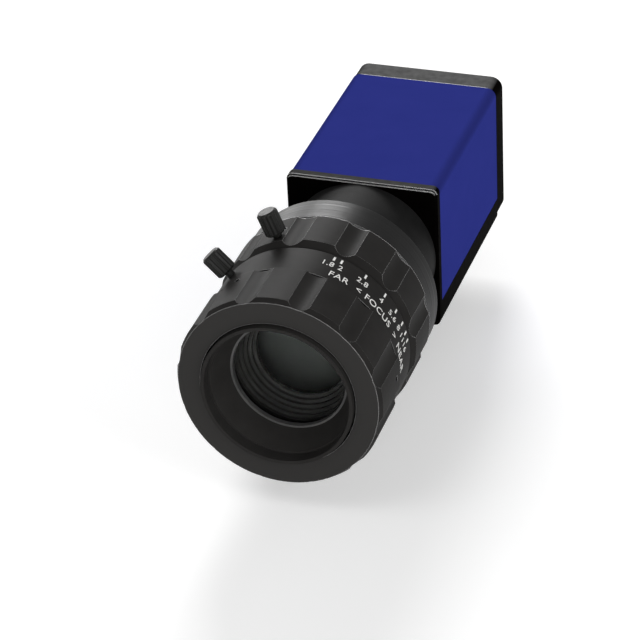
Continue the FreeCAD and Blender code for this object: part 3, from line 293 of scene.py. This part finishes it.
def paint_sheen_on_tops(material, front, back):
    """Painted sheen on upward faces, lighter towards the back of the head and broken into patches by a noise."""
    along = split(material, object_place(material))["Y"]
    sheen_tone = map_range(material, along, (PLATE_LOW.y, -PLATE_LOW.y), (front, back))
    patches = map_range(material, noise(material, 700, 4), NOISE_RANGE, (0.8, 1.2))
    upward = map_range(material, split(material, surface_normal(material))["Z"], UPWARD)
    lay_over(material, upward, math_node(material, "MULTIPLY", sheen_tone, patches))


def paint_shade_on_bends(material, dark):
    """Painted shade: the paint is a little darker where the sheet is bent from the top to a side."""
    facing = split(material, surface_normal(material))
    both = math_node(material, "ABSOLUTE", math_node(material, "MULTIPLY", facing["X"], facing["Z"]))
    bent = math_node(material, "MINIMUM", math_node(material, "MULTIPLY", both, BEND_GAIN), 1.0)
    lay_over(material, bent, dark)


# Kinds of surface


def turning_marks(material, pitch):
    """Fine tool marks of a lathe: rings around the optical axis, on sides and on faces alike."""
    place = split(material, object_place(material))
    across = math_node(material, "SUBTRACT", place["X"], AXIS_X)
    up = math_node(material, "SUBTRACT", place["Z"], AXIS_Z)
    squares = math_node(material, "ADD", math_node(material, "MULTIPLY", across, across),
                        math_node(material, "MULTIPLY", up, up))
    radius = math_node(material, "POWER", squares, 0.5)
    node = add_node(material, "ShaderNodeTexNoise", noise_dimensions="1D")
    node.inputs["Scale"].default_value = 1 / pitch
    node.inputs["Detail"].default_value = 2
    link(material, math_node(material, "ADD", radius, place["Y"]), node.inputs["W"])
    return node.outputs["Fac"]


def turned_metal(name, dark, light, roughness, specular, marks=0.12, pitch=0.2 * MM, metallic=0.0):
    """Anodised or bare metal off a lathe."""
    material = new_material(name, dark, metallic, sum(roughness) / 2, specular)
    vary_colour(material, noise(material, 260, 4), dark, light)
    lines = turning_marks(material, pitch)
    vary_roughness(material, lines, *roughness)
    fine = bump(material, noise(material, 9000, 2), 0.12, soft_edges(material, 0.12 * MM))
    set_normal(material, bump(material, lines, marks, fine))
    return material


def coated_metal(name, dark, light, roughness, specular, grain=0.15, edge=0.15 * MM):
    """Painted, anodised or moulded surface with a fine even grain."""
    material = new_material(name, dark, 0.0, sum(roughness) / 2, specular)
    vary_colour(material, noise(material, 180, 4), dark, light)
    vary_roughness(material, noise(material, 900), *roughness)
    set_normal(material, bump(material, noise(material, 3500), grain, soft_edges(material, edge)))
    return material


def plain_metal(name, colour, roughness, metallic=1.0, specular=0.5):
    """Metal of one colour, with a faint grain and smudges."""
    material = new_material(name, colour, metallic, sum(roughness) / 2, specular)
    vary_roughness(material, noise(material, 1500), *roughness)
    set_normal(material, bump(material, noise(material, 6000, 2), 0.08, soft_edges(material, 0.08 * MM)))
    return material


GLASS_TINT = (0.9, 0.93, 0.92)
RIM_BLACK = (0.004, 0.004, 0.004)
POLISHED_FROM = 0.3
LIGHT_LET_THROUGH = 0.85


def lens_glass(name, ior, roughness):
    """Coated glass with a blackened rim; the low index stands for a coating that reflects little."""
    material = new_material(name, GLASS_TINT, 0.0, sum(roughness) / 2, 0.5)
    inputs = shader_of(material).inputs
    inputs["IOR"].default_value = ior
    vary_roughness(material, noise(material, 300, 2), *roughness)
    along = math_node(material, "ABSOLUTE", split(material, surface_normal(material))["Y"])
    polished = math_node(material, "GREATER_THAN", along, POLISHED_FROM)
    link(material, polished, inputs["Transmission Weight"])
    vary_colour(material, polished, RIM_BLACK, GLASS_TINT)
    shadow_ray = add_node(material, "ShaderNodeLightPath").outputs["Is Shadow Ray"]
    shade = math_node(material, "MULTIPLY", shadow_ray, LIGHT_LET_THROUGH)
    lit = math_node(material, "MULTIPLY", shade, polished)
    link(material, math_node(material, "SUBTRACT", 1.0, lit), inputs["Alpha"])
    return material


def circuit_board():
    """Green solder mask over a pattern of copper."""
    material = new_material("circuit_board", (0.01, 0.09, 0.035), 0.0, 0.35, 0.5)
    cells = add_node(material, "ShaderNodeTexVoronoi", distance="CHEBYCHEV")
    cells.inputs["Scale"].default_value = 700
    link(material, object_place(material), cells.inputs["Vector"])
    vary_colour(material, cells.outputs["Distance"], (0.008, 0.075, 0.03), (0.02, 0.15, 0.06))
    set_normal(material, bump(material, cells.outputs["Distance"], 0.1))
    return material


def lens_coating(name):
    """The satin black of the lens barrels and rings."""
    material = turned_metal(name, (0.0155, 0.0148, 0.0143), (0.0195, 0.0186, 0.0179), (0.4, 0.5), 0.018,
                            marks=0.1)
    # Painted light: the faces across the optical axis are a lighter grey
    paint_light_on_faces(material, (0.031, 0.03, 0.0292))
    return material


def print_white():
    material = new_material("print_white", (0.78, 0.78, 0.76), 0.0, 0.6, 0.3)
    vary_colour(material, noise(material, 5000), (0.66, 0.66, 0.64), (0.84, 0.84, 0.82))
    return material


# The finishes by name. Colours and roughness run between two values.


ANODISED = dict(dark=(0.0008, 0.0006, 0.0005), light=(0.0014, 0.0011, 0.001), roughness=(0.34, 0.42))
COATED = {
    "black_anodised": dict(ANODISED, specular=0.001),
    "black_plate": dict(ANODISED, specular=0.0008, edge=0.3 * MM),
    "blue_paint": dict(dark=(0.0268, 0.0352, 0.229), light=(0.0289, 0.0373, 0.239),
                       roughness=(0.5, 0.58), specular=0.0, grain=0.1),
    "ceramic": dict(dark=(0.03, 0.03, 0.035), light=(0.04, 0.04, 0.045),
                    roughness=(0.35, 0.45), specular=0.4),
    "chip_black": dict(dark=(0.02, 0.02, 0.02), light=(0.03, 0.03, 0.03),
                       roughness=(0.5, 0.6), specular=0.3),
    "connector_plastic": dict(dark=(0.012, 0.012, 0.012), light=(0.018, 0.018, 0.018),
                              roughness=(0.45, 0.55), specular=0.4),
    "led_body": dict(dark=(0.75, 0.75, 0.7), light=(0.8, 0.8, 0.76),
                     roughness=(0.3, 0.4), specular=0.5),
    "light_pipe": dict(dark=(0.5, 0.56, 0.54), light=(0.56, 0.62, 0.6),
                       roughness=(0.1, 0.16), specular=0.5),
}
TURNED = {
    "mount_black": dict(dark=(0.007, 0.007, 0.007), light=(0.011, 0.011, 0.011),
                        roughness=(0.55, 0.65), specular=0.04, marks=0.3),
    "brushed_black": dict(dark=(0.002, 0.002, 0.002), light=(0.004, 0.004, 0.004),
                          roughness=(0.28, 0.5), specular=0.075, marks=0.6, pitch=0.45 * MM),
    "mouth_black": dict(dark=(0.019, 0.0182, 0.0175), light=(0.023, 0.022, 0.0212),
                        roughness=(0.45, 0.55), specular=0.02, marks=0.2),
    "satin_black": dict(dark=(0.05, 0.05, 0.05), light=(0.075, 0.074, 0.073),
                        roughness=(0.35, 0.45), specular=0.3),
    "brass": dict(dark=(0.5, 0.34, 0.12), light=(0.6, 0.42, 0.16),
                  roughness=(0.25, 0.35), specular=0.5, metallic=1.0),
}
PLAIN = {
    "knob_black": dict(colour=(0.009, 0.009, 0.0085), roughness=(0.34, 0.46), metallic=0.0, specular=0.12),
    "dark_steel": dict(colour=(0.06, 0.06, 0.062), roughness=(0.3, 0.4)),
    "jack_metal": dict(colour=(0.55, 0.55, 0.54), roughness=(0.25, 0.38)),
    "gold_contact": dict(colour=(0.8, 0.55, 0.2), roughness=(0.18, 0.26)),
    "blade_steel": dict(colour=(0.012, 0.012, 0.0125), roughness=(0.35, 0.45), metallic=0.6),
}
GLASSES = {
    "glass": dict(ior=1.25, roughness=(0.02, 0.04)),
    "filter_glass": dict(ior=1.25, roughness=(0.02, 0.04)),
    "front_glass": dict(ior=1.08, roughness=(0.015, 0.03)),
    "lens_glass": dict(ior=1.3, roughness=(0.29, 0.32)),
}

# Nodes whose finish differs a little from that of their slot
FINISHES = {"front_plate": "black_plate", "rear_plate": "black_plate", "rear_barrel": "brushed_black",
            "front_lens": "front_glass", "front_lens_spacer": "mouth_black",
            # The front retaining ring takes a lighter grey: painted light, for the light that falls on it inside
            # the mouth
            "focus_barrel": "mouth_black", "iris_ring": "ring_black", "front_retaining_ring": "satin_black",
            "iris_pivot_plate": "lens_black", "iris_drive_ring": "lens_black"}


def make_materials():
    materials = {}
    for make, finishes in ((coated_metal, COATED), (turned_metal, TURNED), (plain_metal, PLAIN),
                           (lens_glass, GLASSES)):
        for name, values in finishes.items():
            materials[name] = make(name, **values)
    materials["lens_black"] = lens_coating("lens_black")
    materials["ring_black"] = lens_coating("ring_black")
    materials["circuit_board"] = circuit_board()
    return materials


def age_materials(materials):
    """Wear, painted highlights and sheen, and painted shade on the outer surfaces. The worn, highlit edges come
    before the painted shade in corners, which lies over them.
    """
    # Painted sheen on the plates' upward faces
    paint_sheen_on_tops(materials["black_plate"], 0.05, 0.11)
    # Worn edges with painted highlights: a lighter grey on the edges of the plates, barrels and rings
    wear_and_highlight_edges(materials["black_plate"], 0.4 * MM, 0.95, 1.0, limits=UPPER_NOT_REAR)
    wear_and_highlight_edges(materials["lens_black"], 0.2 * MM, 0.5, 0.6)
    wear_and_highlight_edges(materials["ring_black"], 0.25 * MM, 0.7, 0.8, limits=ANY_EDGE)
    # Painted shade in the narrow gaps and inner corners of the lens
    for name in ("lens_black", "ring_black", "brushed_black"):
        paint_shade_in_corners(materials[name], 0.9 * MM, 0.1)
    # Painted shade along the blue sheet's bends
    paint_shade_on_bends(materials["blue_paint"], (0.019, 0.024, 0.15))
    # Worn mount edges with a painted highlight
    wear_and_highlight_edges(materials["mount_black"], 0.12 * MM, 0.3, 0.6)
    # The rear barrel's edges are bright even in its corners, so here the wear and painted highlight lie on top of
    # the painted shade
    wear_and_highlight_edges(materials["brushed_black"], 0.25 * MM, 0.5, 0.8)


def dress_nodes(materials):
    """Every CAD node takes the material of its slot in the record, or its own finish."""
    for part in frame["record"]["subparts"]:
        mesh = NODES[part["node"]].data
        mesh.materials.clear()
        mesh.materials.append(materials[FINISHES.get(part["node"], part["material_slot"])])


# Meshes


def new_piece(name, mesh, material, body):
    mesh.materials.clear()
    mesh.materials.append(material)
    piece = bpy.data.objects.new(name, mesh)
    bpy.context.scene.collection.objects.link(piece)
    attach(piece, body)
    return piece


def on_lens(radius, degrees, ahead):
    """A point on the lens: degrees run from +X towards +Z about the optical axis."""
    angle = math.radians(degrees)
    return DATUM + Vector((radius * math.cos(angle), -ahead, radius * math.sin(angle)))


# The print on the number band


BAND_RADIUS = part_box("number_barrel")[1].x - AXIS_X
PRINT_LIFT = 0.03 * MM
PRINT_DEPTH = 0.02 * MM
# Degrees about the optical axis of each aperture's tick and of its number
APERTURES = {"1.8": (73.1, 75.1), "2": (68.7, 67.6), "2.8": (53.3, 53.3), "4": (38.4, 38.9),
             "5.6": (27.5, 28.0), "8": (19.3, 20.2), "11": (13.2, 14.0), "16": (8.4, 8.0)}
NUMBER_AHEAD = 34.3 * MM
NUMBER_HEIGHT = 1.3 * MM
TICK_AHEAD = 32.4 * MM
TICK_LENGTH = 1.1 * MM
TICK_WIDTH = 0.38 * MM
WORD_PLACES = {"FAR": 65.9, "<": 53.0, "FOCUS": 37.4, ">": 20.2, "NEAR": 6.0}
WORD_AHEAD = 36.9 * MM
WORD_HEIGHT = 1.5 * MM
CAPITAL_SHARE = 0.7
LETTER_SPACING = 1.08


def flat_text(words, height):
    """The words as a mesh in the XY plane, centred, with capitals of the height given."""
    curve = bpy.data.curves.new("words", "FONT")
    curve.body = words
    curve.align_x = "CENTER"
    curve.align_y = "CENTER"
    curve.size = height / CAPITAL_SHARE
    curve.space_character = LETTER_SPACING
    curve.extrude = (PRINT_LIFT + PRINT_DEPTH) / 2
    holder = bpy.data.objects.new("words", curve)
    bpy.context.scene.collection.objects.link(holder)
    bpy.context.view_layer.update()
    mesh = bpy.data.meshes.new_from_object(holder.evaluated_get(bpy.context.evaluated_depsgraph_get()))
    bpy.data.objects.remove(holder)
    return mesh


def flat_tick():
    """A tick in the XY plane."""
    mesh = bpy.data.meshes.new("tick")
    shape = bmesh.new()
    size = Matrix.Diagonal((TICK_WIDTH, TICK_LENGTH, PRINT_LIFT + PRINT_DEPTH, 1))
    bmesh.ops.create_cube(shape, size=1, matrix=size)
    shape.to_mesh(mesh)
    shape.free()
    return mesh


def wrap_on_band(mesh, degrees, ahead):
    """Bends a flat mesh round the band, with its top towards the camera head."""
    middle = (PRINT_LIFT - PRINT_DEPTH) / 2
    for vertex in mesh.vertices:
        across, up, lift = vertex.co
        turn = math.degrees(across / BAND_RADIUS)
        vertex.co = on_lens(BAND_RADIUS + middle + lift, degrees - turn, ahead - up)
    return mesh


def join_meshes(name, meshes):
    shape = bmesh.new()
    for mesh in meshes:
        shape.from_mesh(mesh)
    joined = bpy.data.meshes.new(name)
    shape.to_mesh(joined)
    shape.free()
    return joined


def print_band(material):
    """Aperture numbers with their ticks, and the words that say which way to focus."""
    numbers = [wrap_on_band(flat_text(text, NUMBER_HEIGHT), degrees, NUMBER_AHEAD)
               for text, (_, degrees) in APERTURES.items()]
    ticks = [wrap_on_band(flat_tick(), degrees, TICK_AHEAD) for degrees, _ in APERTURES.values()]
    words = [wrap_on_band(flat_text(text, WORD_HEIGHT), degrees, WORD_AHEAD)
             for text, degrees in WORD_PLACES.items()]
    for name, meshes in (("aperture_numbers", numbers), ("aperture_ticks", ticks), ("focus_words", words)):
        new_piece(name, join_meshes(name, meshes), material, "camera")


# The knurled lock screws


HEAD_LENGTH = 4.5 * MM
HEAD_RADIUS = 1.95 * MM
HEAD_BEVEL = 0.3 * MM
KNURL_COUNT = 16
KNURL_DEPTH = 0.2 * MM
# Exponent under 1: wide grooves between narrow ridges
GROOVE_WIDENING = 0.7
STEPS_PER_RIDGE = 6
NECK_RADIUS = 0.8 * MM
TIP_SHARE = 0.7
FILLET_LENGTH = 0.1 * MM
FILLET_REACH = 0.15 * MM
# The rounded top, as distances below its end and in from the head's radius
CROWN_START = 0.45 * MM
CROWN_MIDDLE = (0.2 * MM, 0.22 * MM)
CROWN_INSET = 0.42 * MM


def knurled_profile(start, end):
    """Rings of an outline from the shank's tip to the head's top: (place, radius, knurl depth)."""
    head = end - HEAD_LENGTH
    crown_drop, crown_inset = CROWN_MIDDLE
    return [(start, NECK_RADIUS * TIP_SHARE, 0), (start + HEAD_BEVEL, NECK_RADIUS, 0),
            (head - FILLET_LENGTH, NECK_RADIUS, 0), (head, NECK_RADIUS + FILLET_REACH, 0),
            (head, HEAD_RADIUS - HEAD_BEVEL, 0), (head + HEAD_BEVEL, HEAD_RADIUS, KNURL_DEPTH),
            (end - CROWN_START, HEAD_RADIUS, KNURL_DEPTH),
            (end - crown_drop, HEAD_RADIUS - crown_inset, 0), (end, HEAD_RADIUS - CROWN_INSET, 0)]


def lock_screw_mesh(name, start, end):
    """A turned thumbscrew about +Z with a straight knurl."""
    shape = bmesh.new()
    around = KNURL_COUNT * STEPS_PER_RIDGE
    rings = []
    for place, radius, knurl in knurled_profile(start, end):
        ring = []
        for step in range(around):
            angle = 2 * math.pi * step / around
            groove = (0.5 - 0.5 * math.cos(2 * math.pi * step / STEPS_PER_RIDGE)) ** GROOVE_WIDENING
            reach = radius - knurl * groove
            ring.append(shape.verts.new((reach * math.cos(angle), reach * math.sin(angle), place)))
        rings.append(ring)
    for low, high in zip(rings, rings[1:]):
        for step in range(around):
            after = (step + 1) % around
            shape.faces.new((low[step], low[after], high[after], high[step]))
    shape.faces.new(list(reversed(rings[0])))
    shape.faces.new(rings[-1])
    mesh = bpy.data.meshes.new(name)
    shape.to_mesh(mesh)
    shape.free()
    return mesh


def lock_screw(node, joint_name, body, material):
    """Stands for the CAD screw: same axis, same ends."""
    joint = next(joint for joint in frame["joints"] if joint["name"] == joint_name)
    axis = Vector(joint["axis"]).normalized()
    centre = DATUM + Vector((0, joint["pos_m"][1] - DATUM.y, 0))
    reaches = [(vertex.co - centre).dot(axis) for vertex in NODES[node].data.vertices]
    mesh = lock_screw_mesh(node + "_knurled", min(reaches), max(reaches))
    mesh.transform(Matrix.Translation(centre) @ axis.to_track_quat("Z", "Y").to_matrix().to_4x4())
    piece = new_piece(node + "_knurled", mesh, material, body)
    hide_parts(node)


# The scene around it


def seen_share(material):
    """1 for rays that show a surface to the eye, directly, in a mirror or through glass."""
    path = add_node(material, "ShaderNodeLightPath").outputs
    in_gloss_or_glass = math_node(material, "MAXIMUM", path["Is Glossy Ray"], path["Is Transmission Ray"])
    return math_node(material, "MAXIMUM", path["Is Camera Ray"], in_gloss_or_glass)


def add_floor():
    """A plain white floor that stays white to the eye away from the object, and keeps its shadow."""
    mesh = bpy.data.meshes.new("floor")
    shape = bmesh.new()
    bmesh.ops.create_grid(shape, x_segments=1, y_segments=1, size=FLOOR_REACH)
    shape.to_mesh(mesh)
    shape.free()
    floor = bpy.data.objects.new("floor", mesh)
    floor.location = (0, 0, CAD_BOUNDS[0][2] - FLOOR_GAP)
    bpy.context.scene.collection.objects.link(floor)
    material = new_material("floor_white", FLOOR_COLOUR, 0.0, FLOOR_ROUGHNESS, 0.0)
    distance = add_node(material, "ShaderNodeVectorMath", operation="LENGTH")
    link(material, object_place(material), distance.inputs[0])
    glow = map_range(material, distance.outputs["Value"], FADE_DISTANCES, (FLOOR_GLOW, 1.0))
    inputs = shader_of(material).inputs
    feed(material, inputs["Emission Color"], WHITE)
    link(material, math_node(material, "MULTIPLY", seen_share(material), glow), inputs["Emission Strength"])
    mesh.materials.append(material)


def add_softbox(name, place, size, radiance):
    """A rectangular lamp that faces the datum."""
    lamp = bpy.data.lights.new(name, "AREA")
    lamp.shape = "RECTANGLE"
    lamp.size, lamp.size_y = size
    lamp.energy = radiance * math.pi * size[0] * size[1]
    holder = bpy.data.objects.new(name, lamp)
    holder.location = place
    holder.rotation_euler = (DATUM - Vector(place)).to_track_quat("-Z", "Y").to_euler()
    bpy.context.scene.collection.objects.link(holder)


def add_lights():
    """A world that is white to the eye and a dim fill as light, and the softboxes."""
    world = bpy.data.worlds.new("studio")
    world.use_nodes = True
    inputs = world.node_tree.nodes["Background"].inputs
    feed(world, inputs["Color"], WHITE)
    white = math_node(world, "MULTIPLY", seen_share(world), 1 - WORLD_LIGHT)
    link(world, math_node(world, "ADD", white, WORLD_LIGHT), inputs["Strength"])
    bpy.context.scene.world = world
    for name, (place, size, radiance) in SOFTBOXES.items():
        add_softbox(name, place, size, radiance)
    bpy.context.scene.view_settings.view_transform = "Standard"


def add_camera():
    azimuth, elevation = math.radians(VIEW_AZIMUTH), math.radians(VIEW_ELEVATION)
    back = Vector((math.sin(azimuth) * math.cos(elevation), -math.cos(azimuth) * math.cos(elevation),
                   math.sin(elevation)))
    right = Vector((0, 0, 1)).cross(back).normalized()
    level = Matrix((right, back.cross(right), back)).transposed()
    lens = bpy.data.cameras.new("camera")
    lens.lens = VIEW_LENS
    lens.clip_start = VIEW_CLIP_START
    camera = bpy.data.objects.new("camera", lens)
    turn = Matrix.Rotation(math.radians(VIEW_ROLL), 4, "Z")
    camera.matrix_world = Matrix.Translation(DATUM + VIEW_PLACE) @ level.to_4x4() @ turn
    bpy.context.scene.collection.objects.link(camera)
    bpy.context.scene.camera = camera


MATERIALS = make_materials()
age_materials(MATERIALS)
dress_nodes(MATERIALS)
print_band(print_white())
lock_screw("iris_lock_screw", "iris_lock_turn", "iris_lock", MATERIALS["knob_black"])
lock_screw("focus_lock_screw", "focus_lock_turn", "focus_lock", MATERIALS["knob_black"])
add_floor()
add_lights()
add_camera()
